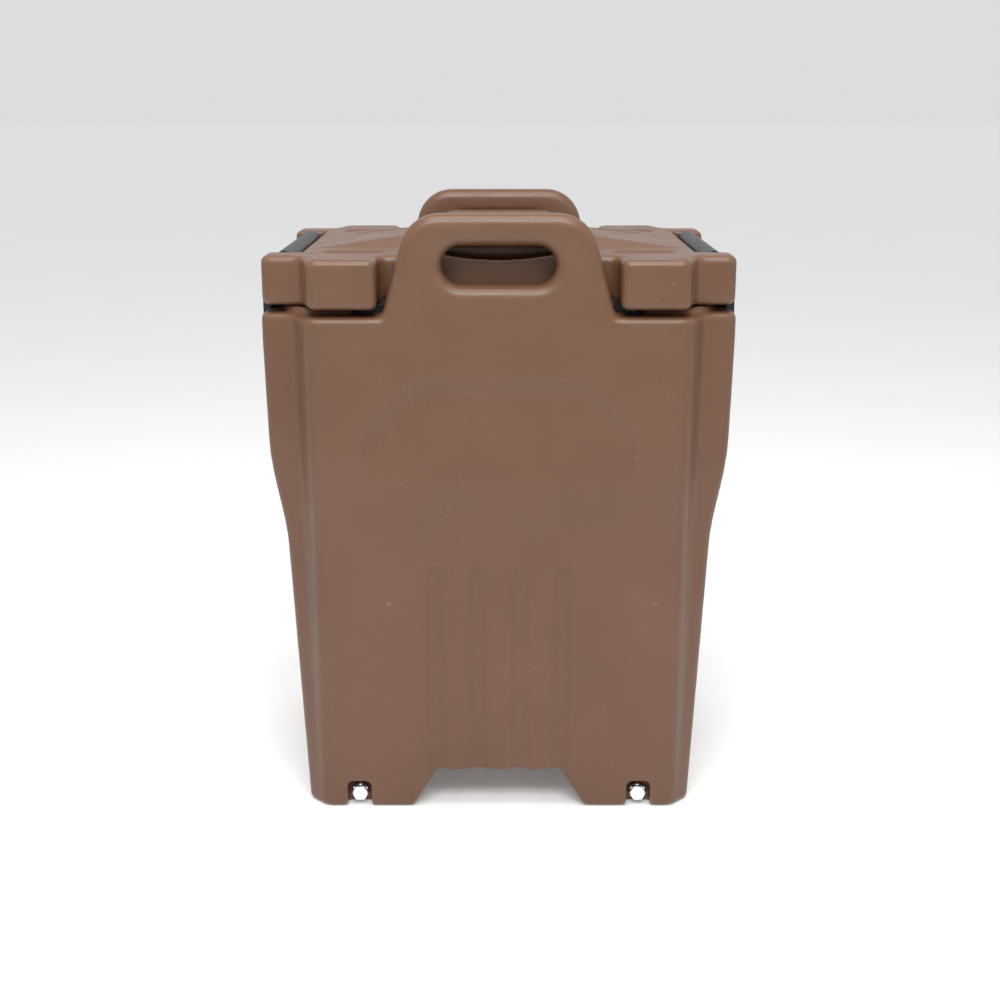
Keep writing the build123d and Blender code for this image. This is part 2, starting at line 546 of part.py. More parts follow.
with BuildPart() as right_latch:
    with BuildSketch(side_plane(LATCH_HALF_Y)) as latch_face:
        with BuildLine():
            nose = (HOOK_NOSE_X, underside(HOOK_NOSE_X))
            crown = Spline(
                (HOOK_NOSE_X, underside(HOOK_NOSE_X) + HOOK_NOSE_THICK),
                *CROWN,
                *CROWN_FOOT,
            )
            root = (LATCH_IN_X, HOOK_START[1] - HOOK_ROOT_DROP)
            Line(crown @ 0, nose)
            Line(nose, HOOK_START)
            Line(HOOK_START, root)
            Line(root, (LATCH_IN_X, PIVOT_Z + 9.0))
            Line((LATCH_IN_X, PIVOT_Z + 9.0), (PIVOT_X - BARREL_R, PIVOT_Z))
            ThreePointArc(
                (PIVOT_X - BARREL_R, PIVOT_Z),
                (PIVOT_X, PIVOT_Z - BARREL_R),
                (PIVOT_X + BARREL_R, PIVOT_Z),
            )
            Line((PIVOT_X + BARREL_R, PIVOT_Z), crown @ 1)
        make_face()
        with Locations((PIVOT_X, PIVOT_Z)):
            Circle(PIN_R + PIN_RUNNING_GAP, mode=Mode.SUBTRACT)
    extrude(amount=2 * LATCH_HALF_Y)
    # Notches that let the bracket's knuckles in.
    with BuildSketch(Plane.XY.offset(PIVOT_Z - BARREL_R - 1.0)):
        with Locations(*[(PIVOT_X, y) for y in KNUCKLE_YS]):
            Rectangle(40.0, KNUCKLE_LENGTH + 2 * KNUCKLE_GAP)
    extrude(amount=2 * BARREL_R + 5.0, mode=Mode.SUBTRACT)
    # Shallow moulded panels on the outer face.
    with BuildSketch(Plane.YZ.offset(LATCH_OUT_X - LATCH_PANEL_DEPTH)):
        with Locations(*[(y, LATCH_PANEL_Z) for y in LATCH_PANEL_YS]):
            RectangleRounded(LATCH_PANEL_WIDTH, LATCH_PANEL_HEIGHT, LATCH_PANEL_R)
    extrude(amount=2 * LATCH_PANEL_DEPTH, mode=Mode.SUBTRACT)
export_pair(right_latch.part, "latch")

# ---------------------------------------------------------------- lid

LID_PLAN = mirrored(
    [
        (BLOCK_INNER_X, LID_WALL_Y),
        (BLOCK_INNER_X, BLOCK_Y),
        (BLOCK_OUTER_X, BLOCK_Y),
        (BLOCK_OUTER_X + BLOCK_SLANT, LID_CORNER_Y),
        (LID_HALF_X, LID_CORNER_Y),
    ]
)
LEDGE_TOP = underside(LID_RECESS_X) - LEDGE_GAP
LEDGE_LOW = underside(LID_LEDGE_X) - LEDGE_GAP
OUTSIDE_X = LID_HALF_X + 20.0

# The recess down each side of the lid, with the sloping ledge that the latch's hook holds.
with BuildPart() as right_lid_recess:
    with BuildSketch(side_plane(LID_RECESS_HALF_Y)):
        with BuildLine():
            Polyline(
                (LID_LEDGE_X, LID_LOW_Z - 5.0),
                (LID_LEDGE_X, LEDGE_LOW),
                (LID_RECESS_X, LEDGE_TOP),
                (LID_RECESS_X, LID_TOP_Z + 5.0),
                (OUTSIDE_X, LID_TOP_Z + 5.0),
                (OUTSIDE_X, LID_LOW_Z - 5.0),
                close=True,
            )
        make_face()
    extrude(amount=2 * LID_RECESS_HALF_Y)
lid_recesses = both_sides(right_lid_recess.part, Plane.YZ)

# A finger scoop in the outer face of each raised pad, with a dished floor and a flat ceiling.
with BuildPart() as front_scoop:
    with BuildSketch(side_plane(-LID_WALL_Y + SCOOP_DEPTH)):
        with BuildLine():
            floor_arc = ThreePointArc(
                (-SCOOP_HALF_X, SCOOP_END_Z), (0.0, SCOOP_LOW_Z), (SCOOP_HALF_X, SCOOP_END_Z)
            )
            Polyline(
                floor_arc @ 1,
                (SCOOP_HALF_X - SCOOP_SLANT, SCOOP_TOP_Z),
                (-SCOOP_HALF_X + SCOOP_SLANT, SCOOP_TOP_Z),
                floor_arc @ 0,
            )
        make_face()
    extrude(amount=SCOOP_DEPTH + 20.0)
scoops = both_sides(front_scoop.part, Plane.XZ)

with BuildPart() as lid_foam:
    with BuildSketch(Plane.XY.offset(PLUG_LOW_Z + WALL)):
        RectangleRounded(PLUG_X - 2 * WALL, PLUG_Y - 2 * WALL, PLUG_R - WALL)
    extrude(amount=LID_SEAT_Z - PLUG_LOW_Z)
    with BuildSketch(Plane.XY.offset(LID_SEAT_Z + WALL)):
        RectangleRounded(2 * (LID_RECESS_X - 1.5 * WALL), 2 * (LID_WALL_Y - WALL), SEAT_R)
    extrude(amount=LID_FOAM_HEIGHT)
    with Locations((0.0, 0.0, PLUG_LOW_Z)):
        Cylinder(SLEEVE_R, 110.0, align=(Align.CENTER, Align.CENTER, Align.MIN), mode=Mode.SUBTRACT)
lid_foam.part.label = "lid_foam"
export_step(lid_foam.part, "parts/lid_foam.step")

with BuildPart() as lid_shell:
    with BuildSketch(Plane.XY.offset(LID_LOW_Z)) as lid_face:
        with BuildLine():
            Polyline(*LID_PLAN, close=True)
        make_face()
        fillet(lid_face.vertices(), LID_PLAN_R)
    extrude(amount=LID_TOP_Z - LID_LOW_Z)
    fillet(lid_shell.faces().filter_by(Axis.Z).edges(), LID_EDGE_R)
    # The middle of the underside sits higher than the skirt, and the plug hangs below it.
    with BuildSketch(Plane.XY.offset(LID_SEAT_Z)):
        RectangleRounded(2 * SEAT_HALF_X, 2 * LID_WALL_Y + 2.0, SEAT_R)
    extrude(amount=-(LID_SEAT_Z - LID_LOW_Z + 1.0), mode=Mode.SUBTRACT)
    with BuildSketch(Plane.XY.offset(PLUG_LOW_Z)):
        RectangleRounded(PLUG_X, PLUG_Y, PLUG_R)
    extrude(amount=LID_SEAT_Z - PLUG_LOW_Z)
    fillet(lid_shell.faces().sort_by(Axis.Z)[0].edges(), LID_EDGE_R)
    add(lid_recesses, mode=Mode.SUBTRACT)
    # Low hipped roof that rises to the middle.
    with BuildSketch(Plane.XY.offset(LID_TOP_Z)):
        Rectangle(ROOF_X, ROOF_Y)
    with BuildSketch(Plane.XY.offset(ROOF_TOP_Z)):
        Rectangle(ROOF_TOP_X, ROOF_TOP_Y)
    loft(ruled=True)
    # Raised pads between the roof and the handles.
    for side in (-1.0, 1.0):
        with BuildSketch(side_plane(side * (LID_WALL_Y - PAD_DEPTH / 2) + PAD_DEPTH / 2)) as pad_face:
            with BuildLine():
                Polyline(
                    (-PAD_HALF_X, LID_TOP_Z - PAD_SUNK),
                    (-PAD_HALF_X, PAD_TOP_Z - PAD_SHOULDER_Z),
                    (-PAD_HALF_X + PAD_SHOULDER_X, PAD_TOP_Z),
                    (PAD_HALF_X - PAD_SHOULDER_X, PAD_TOP_Z),
                    (PAD_HALF_X, PAD_TOP_Z - PAD_SHOULDER_Z),
                    (PAD_HALF_X, LID_TOP_Z - PAD_SUNK),
                    close=True,
                )
            make_face()
        extrude(amount=PAD_DEPTH)
    above = PAD_TOP_Z - PAD_SHOULDER_Z - 0.2
    pad_tops = [e for e in lid_shell.edges() if e.center().Z > above and e.length > 10.0]
    fillet(pad_tops, PAD_EDGE_R)
    add(scoops, mode=Mode.SUBTRACT)
    # Shallow trays in the four shelves, and one in each slope of the roof behind the middle.
    with BuildSketch(Plane.XY.offset(LID_TOP_Z - SHELF_TRAY_DEPTH)):
        with GridLocations(SHELF_TRAY_PITCH_X, SHELF_TRAY_PITCH_Y, 2, 2):
            RectangleRounded(SHELF_TRAY_X, SHELF_TRAY_Y, SHELF_TRAY_R)
    extrude(amount=10.0, mode=Mode.SUBTRACT)
    for side in (-1.0, 1.0):
        lean = atan2(ROOF_TOP_Z - LID_TOP_Z, (ROOF_X - ROOF_TOP_X) / 2)
        fall = (ROOF_TRAY_X - ROOF_TOP_X / 2) * tan(lean)
        tray = Plane(
            origin=(side * ROOF_TRAY_X, ROOF_TRAY_Y, ROOF_TOP_Z - fall - ROOF_TRAY_DEPTH),
            x_dir=(cos(lean), 0.0, -side * sin(lean)),
            z_dir=(side * sin(lean), 0.0, cos(lean)),
        )
        with BuildSketch(tray):
            SlotOverall(ROOF_TRAY_LENGTH, ROOF_TRAY_WIDTH)
        extrude(amount=10.0, mode=Mode.SUBTRACT)
    add(lid_foam.part, mode=Mode.SUBTRACT)
    with Locations((0.0, 0.0, PLUG_LOW_Z - 1.0)):
        Cylinder(SLEEVE_R, 110.0, align=(Align.CENTER, Align.CENTER, Align.MIN), mode=Mode.SUBTRACT)
    with Locations((LID_FILL_X, 0.0, PLUG_LOW_Z - 1.0)):
        Cylinder(PLUG_HOLE_R, WALL + 1.0, align=(Align.CENTER, Align.CENTER, Align.MIN), mode=Mode.SUBTRACT)
lid_shell.part.label = "lid_shell"
export_step(lid_shell.part, "parts/lid_shell.step")

with BuildPart() as lid_fill_plug:
    with Locations((LID_FILL_X, 0.0, PLUG_LOW_Z - PLUG_FLANGE_THICK)):
        Cylinder(PLUG_FLANGE_R, PLUG_FLANGE_THICK, align=(Align.CENTER, Align.CENTER, Align.MIN))
    fillet(lid_fill_plug.edges().group_by(Axis.Z)[0], PLUG_EDGE_R)
    with Locations((LID_FILL_X, 0.0, PLUG_LOW_Z)):
        Cylinder(PLUG_HOLE_R, WALL, align=(Align.CENTER, Align.CENTER, Align.MIN))
lid_fill_plug.part.label = "lid_fill_plug"
export_step(lid_fill_plug.part, "parts/lid_fill_plug.step")

# A tall gasket round the plug, with a groove that leaves a soft lip at its foot.
with BuildPart() as lid_gasket:
    with BuildSketch(Plane.XY.offset(RIM_Z)):
        RectangleRounded(GASKET_X, GASKET_Y, GASKET_R)
        RectangleRounded(
            GASKET_X - 2 * GASKET_WIDTH, GASKET_Y - 2 * GASKET_WIDTH, GASKET_R - GASKET_WIDTH, mode=Mode.SUBTRACT
        )
    extrude(amount=LID_SEAT_Z - RIM_Z)
    with BuildSketch(Plane.XY.offset(RIM_Z + GROOVE_Z)):
        RectangleRounded(GASKET_X + 4.0, GASKET_Y + 4.0, GASKET_R + 2.0)
        RectangleRounded(
            GASKET_X - 2 * GROOVE_DEPTH, GASKET_Y - 2 * GROOVE_DEPTH, GASKET_R - GROOVE_DEPTH, mode=Mode.SUBTRACT
        )
    extrude(amount=GROOVE_HEIGHT, mode=Mode.SUBTRACT)
lid_gasket.part.label = "lid_gasket"
export_step(lid_gasket.part, "parts/lid_gasket.step")

# ---------------------------------------------------------------- vent

FLANGE_TOP_Z = ROOF_TOP_Z + SLEEVE_FLANGE_THICK
CAP_LOW_Z = FLANGE_TOP_Z + SEAL_THICK + CAP_GAP
UPWARDS = (Align.CENTER, Align.CENTER, Align.MIN)

with BuildPart() as vent_sleeve:
    with Locations((0.0, 0.0, PLUG_LOW_Z)):
        Cylinder(SLEEVE_R, ROOF_TOP_Z - PLUG_LOW_Z, align=UPWARDS)
    with Locations((0.0, 0.0, ROOF_TOP_Z)):
        Cylinder(SLEEVE_FLANGE_R, SLEEVE_FLANGE_THICK, align=UPWARDS)
    with Locations((0.0, 0.0, PLUG_LOW_Z)):
        Cylinder(SLEEVE_BORE_R, FLANGE_TOP_Z - PLUG_LOW_Z, align=UPWARDS, mode=Mode.SUBTRACT)
    # Steam leaves by a groove across the flange.
    with BuildSketch(Plane.XY.offset(FLANGE_TOP_Z - GROOVE_DOWN)):
        with Locations((0.0, SLEEVE_FLANGE_R / 2 + GROOVE_START_Y)):
            Rectangle(GROOVE_ACROSS, SLEEVE_FLANGE_R)
    extrude(amount=GROOVE_DOWN, mode=Mode.SUBTRACT)
vent_sleeve.part.label = "vent_sleeve"
export_step(vent_sleeve.part, "parts/vent_sleeve.step")

with BuildPart() as vent_seal:
    with BuildSketch(Plane.XY.offset(FLANGE_TOP_Z)):
        Circle(SEAL_OUTER_R)
        Circle(SEAL_INNER_R, mode=Mode.SUBTRACT)
    extrude(amount=SEAL_THICK)
vent_seal.part.label = "vent_seal"
export_step(vent_seal.part, "parts/vent_seal.step")

with BuildPart() as vent_cap:
    with Locations((0.0, 0.0, CAP_LOW_Z)):
        Cylinder(CAP_R, CAP_TOP_Z - GRIP_HEIGHT - CAP_LOW_Z, align=UPWARDS)
    fillet(vent_cap.edges().group_by(Axis.Z)[-1], CAP_EDGE_R)
    # Grip bar across the top.
    with BuildSketch(Plane.XY.offset(CAP_TOP_Z - GRIP_HEIGHT)):
        SlotOverall(GRIP_LENGTH, GRIP_WIDTH)
    extrude(amount=GRIP_HEIGHT)
    fillet(vent_cap.edges().group_by(Axis.Z)[-1], GRIP_EDGE_R)
    with Locations((0.0, 0.0, STEM_LOW_Z)):
        Cylinder(STEM_R, CAP_LOW_Z - STEM_LOW_Z, align=UPWARDS)
        Cylinder(STEM_BORE_R, CAP_LOW_Z - STEM_LOW_Z, align=UPWARDS, mode=Mode.SUBTRACT)
    with BuildSketch(Plane.YZ):
        with Locations((0.0, FLANGE_TOP_Z)):
            Circle(VENT_PORT_R)
    extrude(amount=STEM_R + 1.0, mode=Mode.SUBTRACT)
vent_cap.part.label = "vent_cap"
export_step(vent_cap.part, "parts/vent_cap.step")
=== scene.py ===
"""Looks for the insulated food carrier: soft moulded skins over the CAD shells, procedural
materials, a pale floor and soft studio light. Lengths are in metres, colours in linear light."""

import math

import bmesh
import bpy
from mathutils import Matrix, Vector


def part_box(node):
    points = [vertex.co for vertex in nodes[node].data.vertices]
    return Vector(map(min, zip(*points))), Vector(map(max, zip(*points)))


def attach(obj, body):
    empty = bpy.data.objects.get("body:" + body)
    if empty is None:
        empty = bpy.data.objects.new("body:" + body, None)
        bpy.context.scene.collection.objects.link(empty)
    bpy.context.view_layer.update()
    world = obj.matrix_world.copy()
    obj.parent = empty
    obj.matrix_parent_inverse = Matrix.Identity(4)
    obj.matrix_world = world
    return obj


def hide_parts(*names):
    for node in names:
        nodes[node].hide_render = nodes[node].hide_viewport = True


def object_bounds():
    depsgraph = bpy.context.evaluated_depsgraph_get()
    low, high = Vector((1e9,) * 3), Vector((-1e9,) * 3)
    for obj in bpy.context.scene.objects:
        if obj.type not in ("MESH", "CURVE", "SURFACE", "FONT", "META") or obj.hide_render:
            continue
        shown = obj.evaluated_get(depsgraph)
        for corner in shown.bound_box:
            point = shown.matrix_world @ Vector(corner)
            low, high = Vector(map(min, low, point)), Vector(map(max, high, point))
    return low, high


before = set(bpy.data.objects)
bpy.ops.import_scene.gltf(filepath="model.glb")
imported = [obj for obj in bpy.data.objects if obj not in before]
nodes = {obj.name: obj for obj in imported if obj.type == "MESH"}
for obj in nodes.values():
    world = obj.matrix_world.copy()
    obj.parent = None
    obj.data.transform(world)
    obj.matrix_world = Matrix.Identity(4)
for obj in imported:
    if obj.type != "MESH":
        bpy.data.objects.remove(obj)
cad_low, cad_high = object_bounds()

# The skins: voxel size, rounds of smoothing and most faces, for the shells and for the latches.
SHELL_VOXEL = 0.0026
SHELL_SOFTENING = 5
SHELL_FACES = 190000
LATCH_VOXEL = 0.0012
LATCH_SOFTENING = 4
LATCH_FACES = 70000
SMOOTHING_STEP = 0.5

# The disc that closes a filling hole, wider than its plug by a margin all round.
CAP_SEGMENTS = 48
CAP_MARGIN = 0.004
CAP_THICK = 0.003

# Colours, with the brown moulding's lighter and darker neighbours first.
BROWN = (0.112, 0.0525, 0.0275, 1.0)
BROWN_DARK = (0.105, 0.0488, 0.0253, 1.0)
BROWN_LIGHT = (0.120, 0.0575, 0.0305, 1.0)
# Pale specks and scratches on the brown, also used as its painted edge highlight.
PALE_MARKS_AND_HIGHLIGHT = (0.36, 0.25, 0.18, 1.0)
SPECK_DARK = (0.035, 0.018, 0.011, 1.0)
NYLON_LOW = (0.008, 0.008, 0.010, 1.0)
NYLON_HIGH = (0.022, 0.022, 0.026, 1.0)
# The grey of the nylon's painted edge highlight.
NYLON_EDGE_HIGHLIGHT = (0.07, 0.07, 0.075, 1.0)
SILICONE_LOW = (0.006, 0.006, 0.006, 1.0)
SILICONE_HIGH = (0.016, 0.015, 0.015, 1.0)
ZINC_LOW = (0.62, 0.68, 0.74, 1.0)
ZINC_HIGH = (0.86, 0.90, 0.94, 1.0)
ZINC_STAIN = (0.42, 0.45, 0.48, 1.0)
STEEL_LOW = (0.42, 0.43, 0.44, 1.0)
STEEL_HIGH = (0.62, 0.63, 0.64, 1.0)
BRASS_LOW = (0.50, 0.34, 0.12, 1.0)
BRASS_HIGH = (0.71, 0.53, 0.22, 1.0)
FOAM_LOW = (0.38, 0.29, 0.14, 1.0)
FOAM_HIGH = (0.72, 0.62, 0.38, 1.0)
FLOOR_LOW = (0.80, 0.80, 0.80, 1.0)
FLOOR_HIGH = (0.84, 0.84, 0.84, 1.0)
WHITE = (1.0, 1.0, 1.0, 1.0)

# How strongly the two plastics mirror light, where 0.5 is Blender's usual plastic.
BROWN_SPECULAR = 0.42
NYLON_SPECULAR = 0.28

# The studio: floor, room light, softboxes (name, place, width, height, watts) and camera, with
# its pitch below level in degrees and its lens and sensor in millimetres.
FLOOR_RADIUS = 40.0
FLOOR_SEGMENTS = 96
FLOOR_GLOW = 0.13
ROOM_LIGHT = 0.72
SOFTBOXES = (
    ("overhead", (0.0, -0.45, 2.3), 1.6, 1.0, 26.0),
    ("front_key", (0.0, -2.3, 2.5), 1.8, 1.0, 70.0),
    ("left_fill", (-2.6, -0.9, 1.5), 1.6, 1.8, 5.0),
    ("right_fill", (2.6, -0.9, 1.5), 1.6, 1.8, 5.0),
)
CAMERA_PLACE = (0.0013, -1.828, 0.826)
CAMERA_PITCH = 15.2
CAMERA_LENS = 54.3
CAMERA_SENSOR = 36.0
LEVEL_TILT = 90.0


class Look:
    """A procedural material, built node by node on the model's own coordinates in metres."""

    def __init__(self, name):
        self.material = bpy.data.materials.new(name)
        self.material.use_nodes = True
        self.tree = self.material.node_tree
        self.shader = self.tree.nodes["Principled BSDF"]
        self.place = self.tree.nodes.new("ShaderNodeTexCoord").outputs["Object"]

    def link(self, source, target):
        self.tree.links.new(source, target)

    def stretched(self, scale, turn=(0.0, 0.0, 0.0)):
        """The coordinates, turned and then stretched, for marks that run one way."""
        turned = self.tree.nodes.new("ShaderNodeMapping")
        turned.inputs["Rotation"].default_value = turn
        self.link(self.place, turned.inputs["Vector"])
        mapping = self.tree.nodes.new("ShaderNodeMapping")
        mapping.inputs["Scale"].default_value = scale
        self.link(turned.outputs["Vector"], mapping.inputs["Vector"])
        return mapping.outputs["Vector"]

    def noise(self, scale, detail=2.0, roughness=0.5, distortion=0.0, vector=None):
        texture = self.tree.nodes.new("ShaderNodeTexNoise")
        texture.inputs["Scale"].default_value = scale
        texture.inputs["Detail"].default_value = detail
        texture.inputs["Roughness"].default_value = roughness
        texture.inputs["Distortion"].default_value = distortion
        self.link(vector or self.place, texture.inputs["Vector"])
        return texture.outputs["Fac"]

    def cells(self, scale):
        """Distance to the nearest of many scattered points."""
        texture = self.tree.nodes.new("ShaderNodeTexVoronoi")
        texture.inputs["Scale"].default_value = scale
        self.link(self.place, texture.inputs["Vector"])
        return texture.outputs["Distance"]

    def between(self, value, low, high, out_low=0.0, out_high=1.0):
        """The value, stretched from low..high to out_low..out_high and held there."""
        remap = self.tree.nodes.new("ShaderNodeMapRange")
        remap.inputs["From Min"].default_value = low
        remap.inputs["From Max"].default_value = high
        remap.inputs["To Min"].default_value = out_low
        remap.inputs["To Max"].default_value = out_high
        self.link(value, remap.inputs["Value"])
        return remap.outputs["Result"]

    def maths(self, operation, first, second):
        """One sum on two sockets, or on a socket and a number."""
        node = self.tree.nodes.new("ShaderNodeMath")
        node.operation = operation
        self.link(first, node.inputs[0])
        if isinstance(second, float):
            node.inputs[1].default_value = second
        else:
            self.link(second, node.inputs[1])
        return node.outputs[0]

    def mix(self, amount, first, second):
        """A colour between two, by a socket; each colour is a socket or four numbers."""
        node = self.tree.nodes.new("ShaderNodeMix")
        node.data_type = "RGBA"
        self.link(amount, node.inputs["Factor"])
        for colour, socket in ((first, node.inputs[6]), (second, node.inputs[7])):
            if isinstance(colour, tuple):
                socket.default_value = colour
            else:
                self.link(colour, socket)
        return node.outputs[2]

    def tint(self, mask, strength, colour, toward):
        """The colour, moved towards another by the mask at the given strength."""
        return self.mix(self.maths("MULTIPLY", mask, strength), colour, toward)

    def patchy(self, scale, smoothest, roughest, upper=0.70):
        """A roughness that drifts between two values, in patches of the given scale."""
        return self.between(self.noise(scale, 3.0), 0.30, upper, smoothest, roughest)

    def bump(self, height, strength, distance, under=None):
        node = self.tree.nodes.new("ShaderNodeBump")
        node.inputs["Strength"].default_value = strength
        node.inputs["Distance"].default_value = distance
        self.link(height, node.inputs["Height"])
        if under is not None:
            self.link(under, node.inputs["Normal"])
        return node.outputs["Normal"]

    def sharp_edge_mask(self, low, high):
        """One on sharp outer edges, nought elsewhere."""
        geometry = self.tree.nodes.new("ShaderNodeNewGeometry")
        return self.between(geometry.outputs["Pointiness"], low, high)

    def fixed(self, socket, value):
        """One value over the whole surface, on the shader's own socket."""
        self.shader.inputs[socket].default_value = value

    def finish(self, colour, roughness, normal=None):
        self.link(colour, self.shader.inputs["Base Color"])
        self.link(roughness, self.shader.inputs["Roughness"])
        if normal is not None:
            self.link(normal, self.shader.inputs["Normal"])
        return self.material


def moulded_brown():
    """Satin brown polyethylene: cloudy pigment, orange peel, specks, fine scratches and a painted
    highlight on sharp edges.
    """
    look = Look("brown_polyethylene")
    clouds = look.noise(scale=9.0, detail=4.0, roughness=0.55)
    colour = look.mix(look.between(clouds, 0.35, 0.68), BROWN_DARK, BROWN_LIGHT)
    pigment = look.noise(scale=75.0, detail=3.0, roughness=0.6)
    colour = look.mix(look.between(pigment, 0.30, 0.75, 0.0, 0.45), colour, BROWN)
    grain = look.noise(scale=900.0, detail=2.0, roughness=0.6)
    colour = look.mix(look.between(grain, 0.56, 0.80, 0.0, 0.8), colour, BROWN_LIGHT)
    colour = look.mix(look.between(grain, 0.42, 0.22, 0.0, 0.8), colour, BROWN_DARK)

    patches = look.between(look.noise(scale=23.0, detail=2.0), 0.50, 0.62)
    light_specks = look.between(look.cells(170.0), 0.085, 0.05)
    light_specks = look.maths("MULTIPLY", light_specks, patches)
    colour = look.tint(light_specks, 0.55, colour, PALE_MARKS_AND_HIGHLIGHT)
    sparse = look.between(look.noise(scale=31.0, detail=1.0), 0.56, 0.60)
    dark_specks = look.between(look.cells(121.0), 0.075, 0.045)
    dark_specks = look.maths("MULTIPLY", dark_specks, sparse)
    colour = look.tint(dark_specks, 0.7, colour, SPECK_DARK)

    upright = look.stretched(scale=(430.0, 430.0, 14.0), turn=(0.3, 0.45, 0.2))
    level = look.stretched(scale=(16.0, 390.0, 390.0), turn=(0.2, 0.35, 0.3))
    steep, shallow = (
        look.between(look.noise(1.0, 1.0, 0.5, 0.6, way), 0.735, 0.775) for way in (upright, level)
    )
    gate = look.between(look.noise(scale=17.0, detail=2.0), 0.50, 0.64)
    scratches = look.maths("MULTIPLY", look.maths("MAXIMUM", steep, shallow), gate)
    colour = look.tint(scratches, 0.22, colour, PALE_MARKS_AND_HIGHLIGHT)

    # A painted highlight: sharp outer edges lighten towards the pale colour, broken up in patches;
    # the same edges are also a touch smoother.
    edges = look.sharp_edge_mask(0.515, 0.60)
    highlight_patches = look.between(look.noise(scale=48.0, detail=3.0), 0.40, 0.65, 0.25, 1.0)
    painted_edge_highlight = look.maths("MULTIPLY", edges, highlight_patches)
    colour = look.tint(painted_edge_highlight, 0.30, colour, PALE_MARKS_AND_HIGHLIGHT)

    rough = look.patchy(36.0, 0.33, 0.43)
    rough = look.maths("ADD", rough, look.maths("MULTIPLY", scratches, 0.12))
    rough = look.maths("SUBTRACT", rough, look.maths("MULTIPLY", edges, 0.10))
    waves = look.bump(look.noise(11.0, 2.0), strength=0.35, distance=0.0016)
    peel = look.bump(look.noise(330.0, 2.0, 0.55), strength=0.16, distance=0.00045, under=waves)
    normal = look.bump(scratches, strength=-0.12, distance=0.0002, under=peel)
    look.fixed("Specular IOR Level", BROWN_SPECULAR)
    return look.finish(colour, rough, normal)


def black_nylon():
    """Glass-filled black nylon: fine spark-eroded grain, with a painted highlight along its sharp
    edges.
    """
    look = Look("black_nylon_grain")
    colour = look.mix(look.between(look.noise(40.0, 3.0), 0.35, 0.70), NYLON_LOW, NYLON_HIGH)
    # A painted highlight: sharp outer edges lighten towards grey.
    colour = look.tint(look.sharp_edge_mask(0.52, 0.62), 0.25, colour, NYLON_EDGE_HIGHLIGHT)
    rough = look.patchy(210.0, 0.30, 0.46, upper=0.72)
    normal = look.bump(look.noise(1400.0, 2.0, 0.6), strength=0.22, distance=0.00012)
    look.fixed("Specular IOR Level", NYLON_SPECULAR)
    return look.finish(colour, rough, normal)


def black_silicone():
    """Glossy black silicone with a faint dusty bloom."""
    look = Look("black_silicone_gloss")
    bloom = look.between(look.noise(scale=60.0, detail=4.0, roughness=0.6), 0.45, 0.78)
    colour = look.mix(bloom, SILICONE_LOW, SILICONE_HIGH)
    rough = look.patchy(95.0, 0.20, 0.38, upper=0.72)
    normal = look.bump(look.noise(260.0, 2.0), strength=0.10, distance=0.0003)
    return look.finish(colour, rough, normal)


def zinc_plate():
    """Bright zinc plate: spangled, slightly blue, with turning marks."""
    look = Look("zinc_plated_steel")
    spangle = look.between(look.cells(420.0), 0.05, 0.65)
    colour = look.mix(spangle, ZINC_LOW, ZINC_HIGH)
    stains = look.noise(scale=300.0, detail=4.0, roughness=0.6)
    colour = look.mix(look.between(stains, 0.52, 0.75, 0.0, 0.45), colour, ZINC_STAIN)
    rough = look.patchy(700.0, 0.20, 0.38)
    turned = look.noise(1.0, 2.0, vector=look.stretched((2600.0, 260.0, 2600.0)))
    normal = look.bump(turned, strength=0.14, distance=0.00008)
    look.fixed("Metallic", 1.0)
    return look.finish(colour, rough, normal)


def ground_steel():
    """The hinge pins: ground stainless rod, with fine marks round it."""
    look = Look("ground_steel_pin")
    marks = look.noise(1.0, 3.0, 0.6, vector=look.stretched((180.0, 3200.0, 180.0)))
    colour = look.mix(look.between(marks, 0.3, 0.7), STEEL_LOW, STEEL_HIGH)
    rough = look.patchy(500.0, 0.20, 0.36)
    look.fixed("Metallic", 1.0)
    return look.finish(colour, rough, look.bump(marks, strength=0.10, distance=0.00005))


def moulded_brass():
    """Moulded-in brass inserts, dulled by heat."""
    look = Look("dull_brass")
    heat = look.between(look.noise(scale=160.0, detail=4.0, roughness=0.6), 0.35, 0.72)
    colour = look.mix(heat, BRASS_LOW, BRASS_HIGH)
    rough = look.patchy(600.0, 0.30, 0.50)
    normal = look.bump(look.noise(900.0, 2.0), strength=0.15, distance=0.0001)
    look.fixed("Metallic", 1.0)
    return look.finish(colour, rough, normal)


def yellow_foam():
    """Closed-cell polyurethane foam, hidden between the skins."""
    look = Look("polyurethane_foam")
    pores = look.between(look.cells(320.0), 0.0, 0.55)
    colour = look.mix(pores, FOAM_LOW, FOAM_HIGH)
    rough = look.between(look.noise(200.0, 2.0), 0.3, 0.7, 0.80, 0.95)
    return look.finish(colour, rough, look.bump(pores, strength=0.5, distance=0.0008))


def studio_floor():
    """A very faintly mottled pale floor."""
    look = Look("pale_floor")
    colour = look.mix(look.noise(3.0, 3.0), FLOOR_LOW, FLOOR_HIGH)
    rough = look.patchy(5.0, 0.60, 0.75)
    look.fixed("Emission Color", WHITE)
    look.fixed("Emission Strength", FLOOR_GLOW)
    return look.finish(colour, rough)


def new_piece(name, mesh):
    """A mesh as an object in the scene."""
    piece = bpy.data.objects.new(name, mesh)
    bpy.context.scene.collection.objects.link(piece)
    return piece


def seal_under(builder, plug, inner_z):
    """A thin disc just inside a shell's filling hole, so that the hollow behind it closes up."""
    low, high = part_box(plug)
    middle = (low + high) / 2
    radius = (high.x - low.x) / 2 + CAP_MARGIN
    bmesh.ops.create_cone(
        builder,
        cap_ends=True,
        segments=CAP_SEGMENTS,
        radius1=radius,
        radius2=radius,
        depth=CAP_THICK,
        matrix=Matrix.Translation((middle.x, middle.y, inner_z)),
    )


